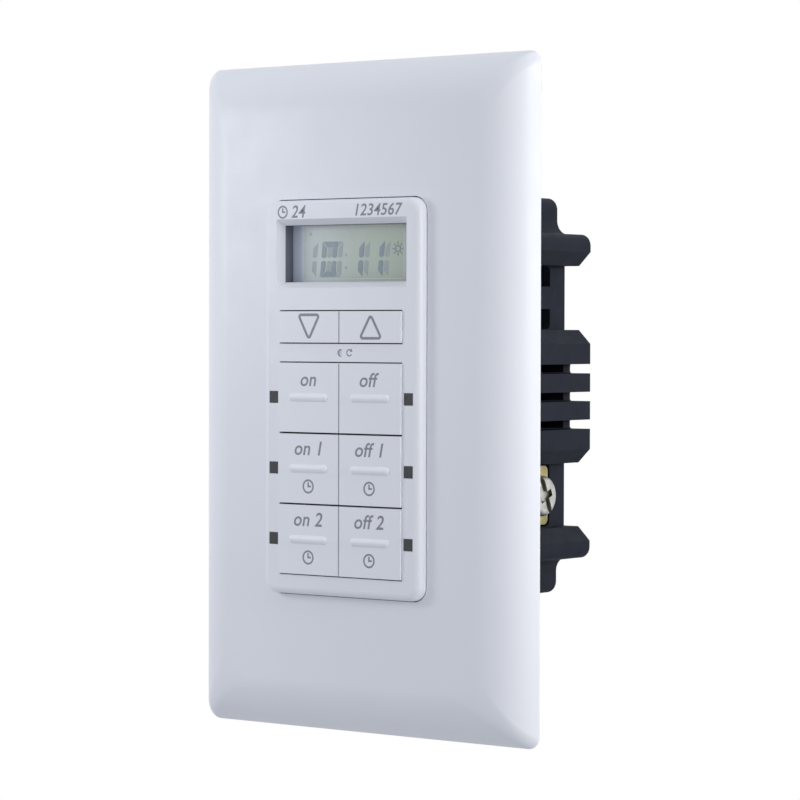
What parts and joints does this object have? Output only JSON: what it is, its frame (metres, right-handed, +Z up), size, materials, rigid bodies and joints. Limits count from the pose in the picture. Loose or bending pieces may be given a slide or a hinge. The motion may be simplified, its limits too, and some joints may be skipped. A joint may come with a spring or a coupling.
{
  "type": "timer light switch",
  "caption": "White in-wall timer light switch with a small clock display, press keys, a clip-on wall plate and a charcoal rear housing with screw terminals",
  "frame": {"origin": "midway between the two box screw holes, on the rear face of the mounting strap, which is the wall's surface", "axes": "+X to the right as seen from the front, +Y into the wall, +Z up"},
  "size_m": [0.0698, 0.0425, 0.1134],
  "materials": {
    "plate_white": "smooth white moulded plastic",
    "key_white": "satin white moulded plastic",
    "sub_grey": "plain pale moulded plastic",
    "housing_charcoal": "fine satin charcoal plastic",
    "black_plastic": "plain black plastic",
    "display_green": "grey green liquid crystal glass",
    "window_smoke": "smoked clear plastic",
    "lamp_white": "milky lamp body",
    "strip_rubber": "conductive rubber",
    "board_green": "printed circuit board",
    "zinc_steel": "zinc-plated steel",
    "ground_green": "green-finished steel",
    "brass": "bare brass",
    "coil_copper": "enamelled copper winding",
    "soft_iron": "soft iron",
    "relay_blue": "blue moulded cover",
    "capacitor_yellow": "yellow dipped box",
    "capacitor_blue": "dark blue sleeve",
    "varistor_blue": "blue dipped disc"
  },
  "bodies": {
    "chassis": {"sub_plate": "sub_grey", "plate_screws": "zinc_steel", "mounting_strap": "zinc_steel", "ground_screw": "ground_green", "bezel": "plate_white", "display_frame": "black_plastic", "display_panel": "display_green", "contact_strips": "strip_rubber", "indicator_windows": "window_smoke", "push_switches": "black_plastic", "indicator_lamps": "lamp_white", "key_board": "board_green", "key_board_screws": "zinc_steel", "controller_chip": "black_plastic", "crystal": "zinc_steel", "cell_clip": "brass", "backup_cell": "zinc_steel", "board_link": "black_plastic", "link_pins": "brass", "power_board": "board_green", "power_board_screws": "zinc_steel", "relay_base": "black_plastic", "relay_cover": "relay_blue", "relay_coil": "coil_copper", "relay_core": "soft_iron", "relay_yoke": "soft_iron", "relay_contact": "brass", "film_capacitor": "capacitor_yellow", "electrolytic_capacitor": "capacitor_blue", "varistor": "varistor_blue", "rear_housing": "housing_charcoal", "housing_screws": "zinc_steel", "line_terminal": "brass", "load_terminal": "brass", "neutral_terminal": "brass", "terminal_screws": "zinc_steel"},
    "cover": {"wall_plate": "plate_white"},
    "down": {"down_key": "key_white", "down_plunger": "black_plastic"},
    "up": {"up_key": "key_white", "up_plunger": "black_plastic"},
    "on": {"on_key": "key_white", "on_plunger": "black_plastic"},
    "off": {"off_key": "key_white", "off_plunger": "black_plastic"},
    "on_1": {"on_1_key": "key_white", "on_1_plunger": "black_plastic"},
    "off_1": {"off_1_key": "key_white", "off_1_plunger": "black_plastic"},
    "on_2": {"on_2_key": "key_white", "on_2_plunger": "black_plastic"},
    "off_2": {"off_2_key": "key_white", "off_2_plunger": "black_plastic"},
    "reset": {"reset_button": "key_white"},
    "armature": {"relay_armature": "soft_iron"}
  },
  "joints": [
    {"name": "down_press", "type": "slide", "parent": "chassis", "child": "down", "axis": [0, 1, 0], "range_m": [0, 0.0007], "stiffness_N_per_m": 1500, "springref_m": -0.0004},
    {"name": "up_press", "type": "slide", "parent": "chassis", "child": "up", "axis": [0, 1, 0], "range_m": [0, 0.0007], "stiffness_N_per_m": 1500, "springref_m": -0.0004},
    {"name": "on_press", "type": "slide", "parent": "chassis", "child": "on", "axis": [0, 1, 0], "range_m": [0, 0.0007], "stiffness_N_per_m": 1500, "springref_m": -0.0004},
    {"name": "off_press", "type": "slide", "parent": "chassis", "child": "off", "axis": [0, 1, 0], "range_m": [0, 0.0007], "stiffness_N_per_m": 1500, "springref_m": -0.0004},
    {"name": "on_1_press", "type": "slide", "parent": "chassis", "child": "on_1", "axis": [0, 1, 0], "range_m": [0, 0.0007], "stiffness_N_per_m": 1500, "springref_m": -0.0004},
    {"name": "off_1_press", "type": "slide", "parent": "chassis", "child": "off_1", "axis": [0, 1, 0], "range_m": [0, 0.0007], "stiffness_N_per_m": 1500, "springref_m": -0.0004},
    {"name": "on_2_press", "type": "slide", "parent": "chassis", "child": "on_2", "axis": [0, 1, 0], "range_m": [0, 0.0007], "stiffness_N_per_m": 1500, "springref_m": -0.0004},
    {"name": "off_2_press", "type": "slide", "parent": "chassis", "child": "off_2", "axis": [0, 1, 0], "range_m": [0, 0.0007], "stiffness_N_per_m": 1500, "springref_m": -0.0004},
    {"name": "reset_press", "type": "slide", "parent": "chassis", "child": "reset", "axis": [0, 1, 0], "range_m": [0, 0.0006], "stiffness_N_per_m": 1500, "springref_m": -0.0004},
    {"name": "armature_rock", "type": "hinge", "parent": "chassis", "child": "armature", "pos_m": [0, 0.0241, 0.0055], "axis": [-1, 0, 0], "range_deg": [0, 4], "stiffness_Nm_per_rad": 0.02, "springref_deg": -2.86},
    {"name": "plate_pull", "type": "slide", "parent": "chassis", "child": "cover", "axis": [0, -1, 0], "range_m": [0, 0.025]}
  ]
}
